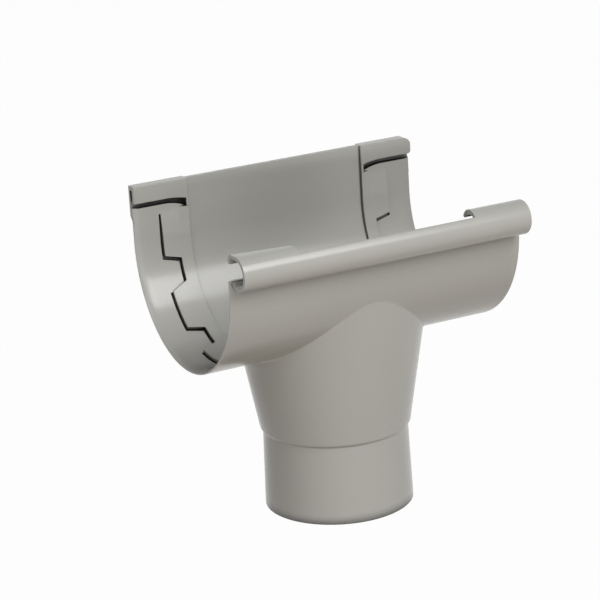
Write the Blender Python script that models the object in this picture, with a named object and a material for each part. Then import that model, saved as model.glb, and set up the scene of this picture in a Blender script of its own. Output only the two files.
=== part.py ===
"""Gutter outlet: a moulded half-round trough with a funnel and a spigot under it.

The ends of two gutters clip into the trough, and the rain runs down the spigot into a downpipe.
X runs along the gutter, -Y is the front with the rolled bead, +Z is up. Lengths are in metres.
"""
import math

import bmesh
import bpy

# Trough, a half-round with straight walls above its axis
TROUGH_LENGTH = 0.1685
TROUGH_RADIUS = 0.0567
WALL = 0.0022
BACK_WALL_RISE = 0.0306
LEAD_IN_LENGTH = 0.0030
LEAD_IN_DEPTH = 0.0014

# Spigot that the downpipe slides over, a little narrower towards its neck
SPIGOT_RADIUS = 0.0400
SPIGOT_NECK_RADIUS = 0.0389
SPIGOT_HEIGHT = 0.0427

# Funnel, round at its shoulder and longer than wide where it meets the trough's underside.
# Its front and back run into the trough at the side drop below the trough's axis.
SHOULDER_RISE = 0.0014
SHOULDER_STEP = 0.0015
FUNNEL_HEIGHT = 0.0454
FUNNEL_HALF_LENGTH = 0.0488
FUNNEL_SIDE_DROP = 0.0228
JUNCTION_FILLET = 0.0025

# Rolled bead along the front: an open J in the middle, closed to a C in the two clips
BEAD_RADIUS = 0.0091
BEAD_WALL = 0.0020
BEAD_OFFSET = 0.0058
BEAD_RISE = 0.0098
BEAD_END_INSET = 0.0015
BEAD_LEDGE = 0.0006
OPEN_LIP_ANGLE = math.radians(137)
CLIP_LIP_ANGLE = math.radians(34)
CLIP_LENGTH = 0.0308
CLIP_RUN_IN = 0.0015

# The left clip is sprung a little open: its top runs back flat before it curls down
LEFT_CLIP_FLAT = 0.0052

# Hook at each end of the back wall: a lip hangs in front of a slot for the gutter's back edge
HOOK_LENGTH = 0.0316
LIP_WALL = 0.0020
LIP_DROP = 0.0094
LIP_GAP = 0.0023
SLOT_WIDTH = 0.0024
SLOT_ROOF = 0.0022
SLOT_END_WALL = 0.0013
SLOT_RAMP = 0.0026
BULGE_DROP = 0.0165
BULGE_RAMP = 0.0037
CORNER_RADIUS = 0.0050
TOP_EDGE_RADIUS = 0.0008

# Raised stop inside each end, whose stepped edge marks where the gutter's end lies
STOP_RISE = 0.0020
STOP_WIDTH = 0.0162
STOP_NOTCH_DEPTH = 0.0092
STOP_BACK_DROP = 0.0130
STOP_TOP_RAMP = 0.0004
STOP_FRONT_DROP = 0.0018
NOTCH_COUNT = 4
NOTCH_START = math.radians(10.4)
NOTCH_PITCH = math.radians(45.2)
NOTCH_STEP = math.radians(2.5)
NOTCH_FLOOR = math.radians(13.5)
NOTCH_RETURN = math.radians(5.0)

# Fineness of the round surfaces
ROUND_STEPS = 96
TROUGH_STEPS = 48
BEAD_STEPS = 40
CLIP_STEPS = 4
CORNER_STEPS = 6
EDGE_STEPS = 3
STOP_STEP = math.radians(4)
SHARP_ANGLE = math.radians(30)

# Overlap that every joined or cutting shape has with its neighbour
BITE = 0.0005
FILLET_BITE = 0.0001
CLEAR = 0.005

INNER_RADIUS = TROUGH_RADIUS - WALL
HALF_LENGTH = TROUGH_LENGTH / 2
SHOULDER_Z = SPIGOT_HEIGHT + SHOULDER_RISE
TROUGH_Z = SHOULDER_Z + FUNNEL_HEIGHT + TROUGH_RADIUS
SHOULDER_RADIUS = SPIGOT_NECK_RADIUS + SHOULDER_STEP
LENGTH_FLARE = (FUNNEL_HALF_LENGTH - SHOULDER_RADIUS) / FUNNEL_HEIGHT
SIDE_HALF_WIDTH = math.sqrt(TROUGH_RADIUS ** 2 - FUNNEL_SIDE_DROP ** 2)
WIDTH_FLARE = (SIDE_HALF_WIDTH - SHOULDER_RADIUS) / (TROUGH_Z - FUNNEL_SIDE_DROP - SHOULDER_Z)

LIP_FRONT = INNER_RADIUS - STOP_RISE
SLOT_FRONT = LIP_FRONT + LIP_WALL
SLOT_BACK = SLOT_FRONT + SLOT_WIDTH
BULGE_BACK = SLOT_BACK + WALL
HOOK_START = HALF_LENGTH - HOOK_LENGTH

BEAD_Y = -(TROUGH_RADIUS + BEAD_OFFSET)
BEAD_MIDDLE = BEAD_RADIUS - BEAD_WALL / 2
BEAD_ROOT = 2 * math.pi - math.acos((BEAD_OFFSET + BITE) / BEAD_RADIUS)
BEAD_FLOOR = BEAD_RISE + (BEAD_RADIUS - BEAD_WALL) * math.sin(BEAD_ROOT)
FRONT_WALL_RISE = BEAD_FLOOR + BEAD_LEDGE
FRONT_REACH = BEAD_RADIUS - BEAD_Y
AXIS_Y = (FRONT_REACH - BULGE_BACK) / 2


def arc(centre, radius, start, end, steps):
    """Points of a section on a circle, from one angle to the other."""
    angles = [start + (end - start) * i / steps for i in range(steps + 1)]
    return [(centre[0] + radius * math.cos(a), centre[1] + radius * math.sin(a)) for a in angles]


def trough_ring(section, x):
    """A section drawn around the trough's axis, set at x."""
    return [(x, AXIS_Y + y, TROUGH_Z + z) for y, z in section]


def oval_ring(half_length, half_width, z):
    """A level ring around the spigot's axis."""
    angles = [2 * math.pi * i / ROUND_STEPS for i in range(ROUND_STEPS)]
    return [(half_length * math.cos(a), AXIS_Y + half_width * math.sin(a), z) for a in angles]


def skin(bm, rings, closed=False):
    """Join rings of equal length with faces, and cap the first and last unless they meet."""
    rows = [[bm.verts.new(point) for point in ring] for ring in rings]
    following = rows[1:] + rows[:1] if closed else rows[1:]
    for row, after in zip(rows, following):
        for i in range(len(row)):
            j = (i + 1) % len(row)
            bm.faces.new((row[i], row[j], after[j], after[i]))
    if not closed:
        bm.faces.new(rows[0])
        bm.faces.new(rows[-1])


def plastic_material():
    """Warm light grey plastic with a soft gloss."""
    material = bpy.data.materials.new("light_grey_plastic")
    material.use_nodes = True
    shader = material.node_tree.nodes["Principled BSDF"]
    shader.inputs["Base Color"].default_value = (0.45, 0.44, 0.405, 1.0)
    shader.inputs["Roughness"].default_value = 0.35
    shader.inputs["Metallic"].default_value = 0.0
    return material


def finish(bm, name, material):
    """Turn a bmesh into a smooth-shaded object with its faces outwards."""
    bmesh.ops.recalc_face_normals(bm, faces=bm.faces)
    mesh = bpy.data.meshes.new(name)
    bm.to_mesh(mesh)
    bm.free()
    mesh.shade_smooth()
    mesh.set_sharp_from_angle(angle=SHARP_ANGLE)
    mesh.materials.append(material)
    obj = bpy.data.objects.new(name, mesh)
    bpy.context.collection.objects.link(obj)
    return obj


def combine(body, tool, operation):
    """Join a helper shape to the body or cut it out, and hide the helper."""
    tool.hide_render = True
    tool.display_type = "WIRE"
    boolean = body.modifiers.new(tool.name, "BOOLEAN")
    boolean.operation = operation
    boolean.solver = "EXACT"
    boolean.object = tool


def trough_block(material):
    """The trough's outside as a solid block, flat on top of both walls."""
    bottom = arc((0, 0), TROUGH_RADIUS, math.pi, 2 * math.pi, TROUGH_STEPS)
    flat = INNER_RADIUS - STOP_RISE - CLEAR
    section = [(-flat, FRONT_WALL_RISE), (-TROUGH_RADIUS, FRONT_WALL_RISE)] + bottom
    section += [(TROUGH_RADIUS, BACK_WALL_RISE), (flat, BACK_WALL_RISE)]
    bm = bmesh.new()
    skin(bm, [trough_ring(section, -HALF_LENGTH), trough_ring(section, HALF_LENGTH)])
    return finish(bm, "gutter_outlet", material)


def hollow_ring(x, radius):
    """The trough's inside at x, with its walls at the given distance from the axis."""
    bottom = arc((0, 0), radius, math.pi, 2 * math.pi, TROUGH_STEPS)
    over = BACK_WALL_RISE + CLEAR
    return trough_ring([(-radius, over)] + bottom + [(radius, over)], x)


def trough_hollow(material):
    """What is cut out to leave the trough's walls, wider towards each end to lead the gutter in."""
    start = HALF_LENGTH - LEAD_IN_LENGTH
    reach = HALF_LENGTH + CLEAR
    mouth = INNER_RADIUS + LEAD_IN_DEPTH * (reach - start) / LEAD_IN_LENGTH
    stations = ((-reach, mouth), (-start, INNER_RADIUS), (start, INNER_RADIUS), (reach, mouth))
    bm = bmesh.new()
    skin(bm, [hollow_ring(x, radius) for x, radius in stations])
    return finish(bm, "trough_hollow", material)


def funnel_level(z, inset):
    """The funnel's ring at height z, drawn in by inset."""
    rise = z - SHOULDER_Z
    half_length = SHOULDER_RADIUS + LENGTH_FLARE * rise - inset
    half_width = SHOULDER_RADIUS + WIDTH_FLARE * rise - inset
    return oval_ring(half_length, half_width, z)


def drain_body(material):
    """The outside of the spigot, its shoulder and the funnel, up into the trough."""
    bm = bmesh.new()
    skin(bm, [
        oval_ring(SPIGOT_RADIUS, SPIGOT_RADIUS, 0),
        oval_ring(SPIGOT_NECK_RADIUS, SPIGOT_NECK_RADIUS, SPIGOT_HEIGHT),
        funnel_level(SHOULDER_Z, 0),
        funnel_level(TROUGH_Z, 0),
    ])
    return finish(bm, "drain_body", material)


def drain_bore(material):
    """The inside of the spigot and the funnel, one wall in from the outside."""
    taper = (SPIGOT_RADIUS - SPIGOT_NECK_RADIUS) / SPIGOT_HEIGHT
    mouth = SPIGOT_RADIUS - WALL + taper * CLEAR
    neck = SPIGOT_NECK_RADIUS - WALL
    bm = bmesh.new()
    skin(bm, [
        oval_ring(mouth, mouth, -CLEAR),
        oval_ring(neck, neck, SPIGOT_HEIGHT),
        funnel_level(SHOULDER_Z, WALL),
        funnel_level(TROUGH_Z, WALL),
    ])
    return finish(bm, "drain_bore", material)


def meeting_point(angle):
    """Where the funnel's outside meets the trough's underside, with both outward normals."""
    side = math.sin(angle)
    slope = WIDTH_FLARE * side
    depth = SHOULDER_Z - TROUGH_Z
    a = slope ** 2 + 1
    b = SHOULDER_RADIUS * side * slope + depth
    c = (SHOULDER_RADIUS * side) ** 2 + depth ** 2 - TROUGH_RADIUS ** 2
    rise = (-b - math.sqrt(b ** 2 - a * c)) / a
    half_length = SHOULDER_RADIUS + LENGTH_FLARE * rise
    half_width = SHOULDER_RADIUS + WIDTH_FLARE * rise
    x = half_length * math.cos(angle)
    y = half_width * side
    flare = LENGTH_FLARE * math.cos(angle) ** 2 * half_width + WIDTH_FLARE * side ** 2 * half_length
    funnel = (half_width * math.cos(angle), half_length * side, -flare)
    size = math.sqrt(sum(value ** 2 for value in funnel))
    funnel_normal = [value / size for value in funnel]
    trough_normal = [0, y / TROUGH_RADIUS, (depth + rise) / TROUGH_RADIUS]
    return (x, y, SHOULDER_Z + rise), funnel_normal, trough_normal


def fillet_ring(angle):
    """A hollow-cheeked section that rounds the corner between the funnel and the trough."""
    point, funnel_normal, trough_normal = meeting_point(angle)
    cosine = sum(f * t for f, t in zip(funnel_normal, trough_normal))
    both = [f + t for f, t in zip(funnel_normal, trough_normal)]
    centre = [p + JUNCTION_FILLET * n / (1 + cosine) for p, n in zip(point, both)]
    opening = math.acos(cosine)
    radius = JUNCTION_FILLET + FILLET_BITE
    ring = []
    for i in range(CORNER_STEPS + 1):
        turn = opening * i / CORNER_STEPS
        f_share = math.sin(opening - turn) / math.sin(opening)
        t_share = math.sin(turn) / math.sin(opening)
        ring.append([
            c - radius * (f_share * f + t_share * t)
            for c, f, t in zip(centre, funnel_normal, trough_normal)
        ])
    ring.append([p - 2 * BITE * n for p, n in zip(point, both)])
    return [(x, AXIS_Y + y, z) for x, y, z in ring]


def junction_fillet(material):
    """The small radius all round the foot of the trough."""
    bm = bmesh.new()
    angles = [2 * math.pi * (i + 0.5) / ROUND_STEPS for i in range(ROUND_STEPS)]
    skin(bm, [fillet_ring(angle) for angle in angles], closed=True)
    return finish(bm, "junction_fillet", material)


def bead_point(distance, flat):
    """A point on the middle of the bead's wall, with the angle that its outside faces.

    The distance runs from the root under the bead, round the front and over the top. The top
    then runs back flat for a while before it curls down to the lip.
    """
    angle = BEAD_ROOT - distance / BEAD_MIDDLE
    if angle >= math.pi / 2:
        return BEAD_MIDDLE * math.cos(angle), BEAD_MIDDLE * math.sin(angle), angle
    past_top = (math.pi / 2 - angle) * BEAD_MIDDLE
    if past_top <= flat:
        return past_top, BEAD_MIDDLE, math.pi / 2
    curl = BEAD_MIDDLE - flat
    angle = math.pi / 2 - (past_top - flat) / curl
    return flat + curl * math.cos(angle), flat + curl * math.sin(angle), angle


def bead_section(lip_angle, flat):
    """The rolled bead from its root in the front wall, round the front, to its lip."""
    length = (BEAD_ROOT - lip_angle) * BEAD_MIDDLE
    if flat:
        curl = BEAD_MIDDLE - flat
        end = math.asin((BEAD_MIDDLE * math.sin(lip_angle) - flat) / curl)
        length = (BEAD_ROOT - math.pi / 2) * BEAD_MIDDLE + flat + (math.pi / 2 - end) * curl
    outer, inner = [], []
    for i in range(BEAD_STEPS + 1):
        y, z, angle = bead_point(length * i / BEAD_STEPS, flat)
        for side, line in ((1, outer), (-1, inner)):
            offset = side * BEAD_WALL / 2
            point = (y + offset * math.cos(angle), z + offset * math.sin(angle))
            line.append((BEAD_Y + point[0], BEAD_RISE + point[1]))
    nose = arc((BEAD_Y + y, BEAD_RISE + z), BEAD_WALL / 2, angle, angle - math.pi, CORNER_STEPS)
    in_wall = -TROUGH_RADIUS + WALL / 2
    return outer + nose[1:-1] + inner[::-1] + [(in_wall, BEAD_FLOOR)]


def front_bead(material):
    """The bead along the front, rolled further over in the clip at each end."""
    end = HALF_LENGTH - BEAD_END_INSET
    clip_start = end - CLIP_LENGTH
    clip = [(end, CLIP_LIP_ANGLE), (clip_start, CLIP_LIP_ANGLE)]
    for i in range(1, CLIP_STEPS + 1):
        share = i / CLIP_STEPS
        lip_angle = CLIP_LIP_ANGLE + (OPEN_LIP_ANGLE - CLIP_LIP_ANGLE) * share
        clip.append((clip_start - CLIP_RUN_IN * share, lip_angle))
    rings = [trough_ring(bead_section(lip_angle, 0), x) for x, lip_angle in clip]
    rings += [trough_ring(bead_section(lip_angle, 0), -x) for x, lip_angle in clip[:0:-1]]
    rings.append(trough_ring(bead_section(CLIP_LIP_ANGLE, LEFT_CLIP_FLAT), -end))
    bm = bmesh.new()
    skin(bm, rings)
    return finish(bm, "front_bead", material)


def hook_blocks(material):
    """The thicker back wall at each end, with the lip in front."""
    top = BACK_WALL_RISE
    r = TOP_EDGE_RADIUS
    foot = BACK_WALL_RISE - BULGE_DROP
    lip_end = BACK_WALL_RISE - LIP_DROP
    in_wall = INNER_RADIUS + WALL / 2
    section = [(LIP_FRONT, lip_end)]
    section += arc((LIP_FRONT + r, top - r), r, math.pi, math.pi / 2, EDGE_STEPS)
    section += arc((BULGE_BACK - r, top - r), r, math.pi / 2, 0, EDGE_STEPS)
    section += [(BULGE_BACK, foot), (in_wall, foot - BULGE_RAMP), (in_wall, lip_end)]
    bm = bmesh.new()
    for side in (-1, 1):
        skin(bm, [trough_ring(section, side * HOOK_START), trough_ring(section, side * HALF_LENGTH)])
    return finish(bm, "hook_blocks", material)


def hook_slots(material):
    """The slot behind each lip, open below and at the end, sloping out to the wall at its foot."""
    foot = BACK_WALL_RISE - LIP_DROP - LIP_GAP
    roof = BACK_WALL_RISE - SLOT_ROOF
    lean = (SLOT_BACK - INNER_RADIUS) / SLOT_RAMP
    low = foot - SLOT_RAMP - BITE
    section = [(SLOT_FRONT, roof), (SLOT_BACK, roof), (SLOT_BACK, foot)]
    section += [(INNER_RADIUS - lean * BITE, low), (INNER_RADIUS - CLEAR, low)]
    section += [(INNER_RADIUS - CLEAR, BACK_WALL_RISE - LIP_DROP - BITE)]
    section += [(SLOT_FRONT, BACK_WALL_RISE - LIP_DROP - BITE)]
    bm = bmesh.new()
    for side in (-1, 1):
        start = side * (HOOK_START + SLOT_END_WALL)
        end = side * (HALF_LENGTH + CLEAR)
        skin(bm, [trough_ring(section, start), trough_ring(section, end)])
    return finish(bm, "hook_slots", material)


def rounded_corner(material):
    """What is cut from the top corner of the back wall at the +X end."""
    x, z = HALF_LENGTH - CORNER_RADIUS, BACK_WALL_RISE - CORNER_RADIUS
    section = arc((x, z), CORNER_RADIUS, 0, math.pi / 2, CORNER_STEPS)
    section[0] = (HALF_LENGTH + CLEAR, z)
    section[-1] = (x, BACK_WALL_RISE + CLEAR)
    section.append((HALF_LENGTH + CLEAR, BACK_WALL_RISE + CLEAR))
    bm = bmesh.new()
    skin(bm, [
        [(px, AXIS_Y + y, TROUGH_Z + pz) for px, pz in section]
        for y in (LIP_FRONT - CLEAR, BULGE_BACK + CLEAR)
    ])
    return finish(bm, "rounded_corner", material)


def stop_outline():
    """The stop's edge from back to front, as (place, width).

    A place above the back wall's foot is a height, given as a negative angle's worth of arc,
    so that one running length serves the straight wall and the round bottom.
    """
    web_top = BACK_WALL_RISE - LIP_DROP + BITE
    shelf = BACK_WALL_RISE - STOP_BACK_DROP
    narrow = STOP_WIDTH - STOP_NOTCH_DEPTH
    outline = [(-web_top, SLOT_END_WALL), (-shelf, SLOT_END_WALL)]
    outline.append((-shelf + STOP_TOP_RAMP, STOP_WIDTH))
    for i in range(NOTCH_COUNT):
        start = NOTCH_START + NOTCH_PITCH * i
        floor = start + NOTCH_STEP
        back = floor + NOTCH_FLOOR
        for angle, width in ((start, STOP_WIDTH), (floor, narrow), (back, narrow)):
            outline.append((INNER_RADIUS * angle, width))
        outline.append((INNER_RADIUS * (back + NOTCH_RETURN), STOP_WIDTH))
    front_top = FRONT_WALL_RISE - STOP_FRONT_DROP
    outline.append((INNER_RADIUS * math.pi + front_top, STOP_WIDTH))
    return outline


def stop_point(place, radius):
    """The section point at a running place on the U of the given radius."""
    half_round = INNER_RADIUS * math.pi
    if place < 0:
        return radius, -place
    if place > half_round:
        return -radius, place - half_round
    angle = -place / INNER_RADIUS
    return radius * math.cos(angle), radius * math.sin(angle)


def end_stops(material):
    """The raised stepped band inside each end of the trough."""
    outline = stop_outline()
    fine = [outline[0]]
    for (place, width), (next_place, next_width) in zip(outline, outline[1:]):
        parts = max(1, round((next_place - place) / (INNER_RADIUS * STOP_STEP)))
        for i in range(1, parts + 1):
            share = i / parts
            fine.append((place + (next_place - place) * share, width + (next_width - width) * share))
    inner, outer = INNER_RADIUS - STOP_RISE, INNER_RADIUS + WALL - BITE
    bm = bmesh.new()
    for side in (-1, 1):
        rings = []
        for place, width in fine:
            near, far = side * HOOK_START, side * (HOOK_START + width)
            corners = ((near, inner), (far, inner), (far, outer), (near, outer))
            rings.append([trough_ring([stop_point(place, radius)], x)[0] for x, radius in corners])
        skin(bm, rings)
    return finish(bm, "end_stops", material)


def build():
    """Make the outlet from its blocks, its hollows and the details that sit on the walls."""
    plastic = plastic_material()
    outlet = trough_block(plastic)
    combine(outlet, drain_body(plastic), "UNION")
    combine(outlet, junction_fillet(plastic), "UNION")
    combine(outlet, trough_hollow(plastic), "DIFFERENCE")
    combine(outlet, drain_bore(plastic), "DIFFERENCE")
    combine(outlet, front_bead(plastic), "UNION")
    combine(outlet, hook_blocks(plastic), "UNION")
    combine(outlet, hook_slots(plastic), "DIFFERENCE")
    combine(outlet, end_stops(plastic), "UNION")
    combine(outlet, rounded_corner(plastic), "DIFFERENCE")


for old in list(bpy.data.objects):
    bpy.data.objects.remove(old, do_unlink=True)
build()
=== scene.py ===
# %% [markdown]
# # A gutter outlet in moulded plastic
#
# This lesson dresses a rainwater part: a half-round trough that two gutters clip into, with a
# funnel and a round spigot under it that a downpipe slides over. X runs along the gutter, -Y is
# the front with the rolled bead, and Z points up. All lengths are in metres.

# %% Load the frame
import math

import bmesh
import bpy
from mathutils import Matrix, Vector


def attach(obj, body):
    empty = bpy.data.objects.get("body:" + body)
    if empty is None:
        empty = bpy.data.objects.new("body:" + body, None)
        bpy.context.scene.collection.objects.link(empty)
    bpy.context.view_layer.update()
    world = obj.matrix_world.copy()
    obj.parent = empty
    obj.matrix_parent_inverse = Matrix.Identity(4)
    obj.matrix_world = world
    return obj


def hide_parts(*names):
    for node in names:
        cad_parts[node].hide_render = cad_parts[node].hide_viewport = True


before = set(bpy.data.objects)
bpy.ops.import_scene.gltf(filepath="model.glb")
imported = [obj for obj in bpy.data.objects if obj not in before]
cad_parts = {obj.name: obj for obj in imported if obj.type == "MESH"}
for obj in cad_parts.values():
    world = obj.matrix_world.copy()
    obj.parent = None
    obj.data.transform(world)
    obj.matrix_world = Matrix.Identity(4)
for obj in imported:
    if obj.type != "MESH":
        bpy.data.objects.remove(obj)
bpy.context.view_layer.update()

# %% [markdown]
# The spigot's axis is a little behind the middle of the box, because the bead reaches further to
# the front than the hooks reach to the back. Everything round is centred on that axis.

# %% Shared places
AXIS_Y = 0.00625

# %% [markdown]
# ## Camera
#
# The photograph was taken with a long lens from the front left, a little above the part, and the
# camera leaned a few degrees to one side. A long lens keeps parallel edges nearly parallel. The
# camera could be aimed with a Track To constraint, but a constraint can't hold the lean, so the
# camera's matrix is put together from its three directions.

# %% Camera
CAMERA_AZIMUTH = -0.47176
CAMERA_ELEVATION = 0.30018
CAMERA_LEAN = -0.0598
CAMERA_SHIFT = (0.0214076, -0.1064076, 1.3530568)
LENS_MM = 150
SENSOR_MM = 36
CLIP_END = 100


def camera_directions():
    """The camera's right, up and back directions in the scene."""
    level = math.cos(CAMERA_ELEVATION)
    back = Vector((
        math.sin(CAMERA_AZIMUTH) * level,
        -math.cos(CAMERA_AZIMUTH) * level,
        math.sin(CAMERA_ELEVATION),
    ))
    side = Vector((0, 0, 1)).cross(back).normalized()
    top = back.cross(side)
    right = side * math.cos(CAMERA_LEAN) + top * math.sin(CAMERA_LEAN)
    up = top * math.cos(CAMERA_LEAN) - side * math.sin(CAMERA_LEAN)
    return right, up, back


def add_camera():
    """A camera at the photograph's place, set as the scene's own."""
    right, up, back = camera_directions()
    across, along, away = CAMERA_SHIFT
    place = back * away - right * across - up * along + Vector((0, AXIS_Y, 0))
    lens = bpy.data.cameras.new("camera")
    lens.lens = LENS_MM
    lens.sensor_width = SENSOR_MM
    lens.clip_end = CLIP_END
    camera = bpy.data.objects.new("camera", lens)
    bpy.context.scene.collection.objects.link(camera)
    camera.matrix_world = Matrix((
        (right.x, up.x, back.x, place.x),
        (right.y, up.y, back.y, place.y),
        (right.z, up.z, back.z, place.z),
        (0, 0, 0, 1),
    ))
    bpy.context.scene.camera = camera
    return camera


camera = add_camera()
print("the camera stands at", [round(value, 4) for value in camera.location])

# %% [markdown]
# ## Floor and light
#
# A catalogue photograph like this one has a brightly lit white sweep and a few soft boxes. Here
# the floor is a wide plane that the camera sees as white. Its matt share carries the part's shadow,
# of which the camera sees hardly a trace, and throws a little warm light up from below. The world
# looks white too, but gives hardly any light of its own, so that gaps and undercuts stay dark. A
# plain white world would be simpler, but it would light every hollow. Floor and world need the
# same mask for what is seen directly, so it is made once, as a node group.

# %% Mask for what is seen directly
def seen_directly_group():
    """A mask that is 1 for what the camera sees, also in a reflection or through glass."""
    group = bpy.data.node_groups.new("seen_directly", "ShaderNodeTree")
    group.interface.new_socket("Mask", in_out="OUTPUT", socket_type="NodeSocketFloat")
    output = group.nodes.new("NodeGroupOutput")
    path = group.nodes.new("ShaderNodeLightPath")
    mask = path.outputs["Is Camera Ray"]
    for ray in ("Is Glossy Ray", "Is Transmission Ray"):
        either = group.nodes.new("ShaderNodeMath")
        either.operation = "MAXIMUM"
        group.links.new(mask, either.inputs[0])
        group.links.new(path.outputs[ray], either.inputs[1])
        mask = either.outputs[0]
    group.links.new(mask, output.inputs["Mask"])
    return group


seen_directly = seen_directly_group()
print("mask node group:", seen_directly.name)


def level_by_sight(nodes, links, hidden, seen):
    """A value that is one level for light on its way and another for what is seen."""
    mask = nodes.new("ShaderNodeGroup")
    mask.node_tree = seen_directly
    level = nodes.new("ShaderNodeMapRange")
    level.inputs["To Min"].default_value = hidden
    level.inputs["To Max"].default_value = seen
    links.new(mask.outputs["Mask"], level.inputs["Value"])
    return level.outputs["Result"]


# %% [markdown]
# A studio sweep curves up behind the object. Seen from this camera a flat plane fills the whole
# picture, so the curve isn't needed. Its material mixes a warm matt surface with a white glow,
# and the mask says how much of each counts.

# %% Floor
FLOOR_SIZE = 8.0
FLOOR_COLOUR = (0.30, 0.23, 0.15, 1)
FLOOR_SEEN = 0.98
FLOOR_GLOW = 0.015


def floor_material():
    """White where it is seen directly, and matt and warm for the light that it throws back."""
    material = bpy.data.materials.new("white_sweep")
    material.use_nodes = True
    nodes, links = material.node_tree.nodes, material.node_tree.links
    nodes.clear()
    output = nodes.new("ShaderNodeOutputMaterial")
    matt = nodes.new("ShaderNodeBsdfDiffuse")
    matt.inputs["Color"].default_value = FLOOR_COLOUR
    glow = nodes.new("ShaderNodeEmission")
    glow.inputs["Color"].default_value = (1, 1, 1, 1)
    mix = nodes.new("ShaderNodeMixShader")
    links.new(level_by_sight(nodes, links, FLOOR_GLOW, FLOOR_SEEN), mix.inputs["Fac"])
    links.new(matt.outputs[0], mix.inputs[1])
    links.new(glow.outputs[0], mix.inputs[2])
    links.new(mix.outputs[0], output.inputs["Surface"])
    return material


def add_floor():
    """A wide plane under the spigot's lower end."""
    bpy.ops.object.select_all(action="DESELECT")
    bpy.ops.mesh.primitive_plane_add(size=FLOOR_SIZE, location=(0, 0, 0))
    floor = bpy.context.object
    floor.name = "floor"
    floor.data.materials.append(floor_material())
    return floor


floor = add_floor()
print(floor.name, "is", FLOOR_SIZE, "m wide and level with the spigot's lower end")

# %% [markdown]
# The key box stands at the front, a little to the right: the band of light on the back wall and
# the line of light on the bead mirror it. Each box is placed by its direction from the part:
# degrees round from the front towards the right, and degrees up. Two more lamps only fill. A low,
# wide one at the front lights the spigot under the trough's shadow, and one behind the part
# keeps its back from going black. They leave no highlight on the plastic, because the boxes alone
# should draw its shine.

# %% World and lamps
FILL_LEVEL = 0.01
SEEN_LEVEL = 1.0
TARGET = Vector((0, AXIS_Y, 0.11))
BOX_DISTANCE = 1.4
SOFT_BOXES = (
    # name, degrees round, degrees up, width, height, watts
    ("key_box", 15, 41, 0.75, 0.80, 10.5),
    ("front_box", -15, 31, 0.36, 0.90, 1.6),
    ("left_box", -65, 42, 0.90, 0.90, 3.6),
)
FILLS = (
    ("low_fill", -18, -2.5, 0.90, 0.08, 5.6),
    ("back_fill", 165, 25, 0.90, 0.90, 7.0),
)


def add_world():
    """A faint even fill that the camera and reflections see as white."""
    world = bpy.data.worlds.new("studio")
    world.use_nodes = True
    nodes, links = world.node_tree.nodes, world.node_tree.links
    nodes.clear()
    output = nodes.new("ShaderNodeOutputWorld")
    background = nodes.new("ShaderNodeBackground")
    background.inputs["Color"].default_value = (1, 1, 1, 1)
    links.new(level_by_sight(nodes, links, FILL_LEVEL, SEEN_LEVEL), background.inputs["Strength"])
    links.new(background.outputs[0], output.inputs["Surface"])
    bpy.context.scene.world = world


def add_soft_box(name, degrees_round, degrees_up, width, height, watts):
    """A rectangular lamp that faces the part."""
    lamp = bpy.data.lights.new(name, "AREA")
    lamp.shape = "RECTANGLE"
    lamp.size, lamp.size_y = width, height
    lamp.energy = watts
    box = bpy.data.objects.new(name, lamp)
    bpy.context.scene.collection.objects.link(box)
    turn, rise = math.radians(degrees_round), math.radians(degrees_up)
    towards = Vector((
        math.sin(turn) * math.cos(rise), -math.cos(turn) * math.cos(rise), math.sin(rise),
    ))
    box.location = TARGET + towards * BOX_DISTANCE
    box.rotation_euler = towards.to_track_quat("Z", "Y").to_euler()
    return box


add_world()
for settings in SOFT_BOXES + FILLS:
    box = add_soft_box(*settings)
    box.visible_glossy = settings not in FILLS
    print(box.name, "stands at", [round(value, 3) for value in box.location])

# %% [markdown]
# ## Plastic
#
# The part is moulded in one warm light grey plastic. Its surface is satin: sharp enough to show
# the edge of a soft box, soft enough to spread it. The real surface is never quite even. A wide,
# faint noise drifts the colour, a fine one breaks up the gloss, and a very fine one gives the
# grain of the mould. All of them read Object coordinates, so they sit still on the part.
#
# The narrow gaps are nearly black: the slots under the lips, the grooves of the stops and the
# foot of every step. Light that bounces between pale walls would wash them out in a render. So
# their shade is painted into the colour: an Ambient Occlusion node finds the gaps by itself, and
# its value darkens the colour in them.

# %% Colour and finish of the plastic
PLASTIC_IOR = 1.54
PLASTIC_COLOUR = (0.447, 0.443, 0.415, 1)
DRIFT_SCALE = 14
DRIFT_SHARE = 0.035
GLOSS_SCALE = 90
ROUGHNESS = (0.18, 0.24)
GRAIN_SCALE = 900
GRAIN_STRENGTH = 0.05
GRAIN_HEIGHT = 0.0001
# Painted shade: the colour that the narrow gaps are darkened towards, in place of their shadow.
PAINTED_SHADE_COLOUR = (0.012, 0.011, 0.010, 1)
PAINTED_SHADE_REACH = 0.012
PAINTED_SHADE_OPENNESS = (0.44, 0.74)


def noise(nodes, links, scale):
    """A noise that sits still on the part."""
    place = nodes.new("ShaderNodeTexCoord")
    texture = nodes.new("ShaderNodeTexNoise")
    texture.inputs["Scale"].default_value = scale
    links.new(place.outputs["Object"], texture.inputs["Vector"])
    return texture.outputs["Fac"]


def plastic_colour(nodes, links):
    """The plastic's colour, with a faint drift."""
    tint = nodes.new("ShaderNodeMixRGB")
    for socket, share in ((1, 1 - DRIFT_SHARE), (2, 1 + DRIFT_SHARE)):
        tint.inputs[socket].default_value = [value * share for value in PLASTIC_COLOUR[:3]] + [1]
    links.new(noise(nodes, links, DRIFT_SCALE), tint.inputs["Fac"])
    return tint.outputs["Color"]


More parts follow.
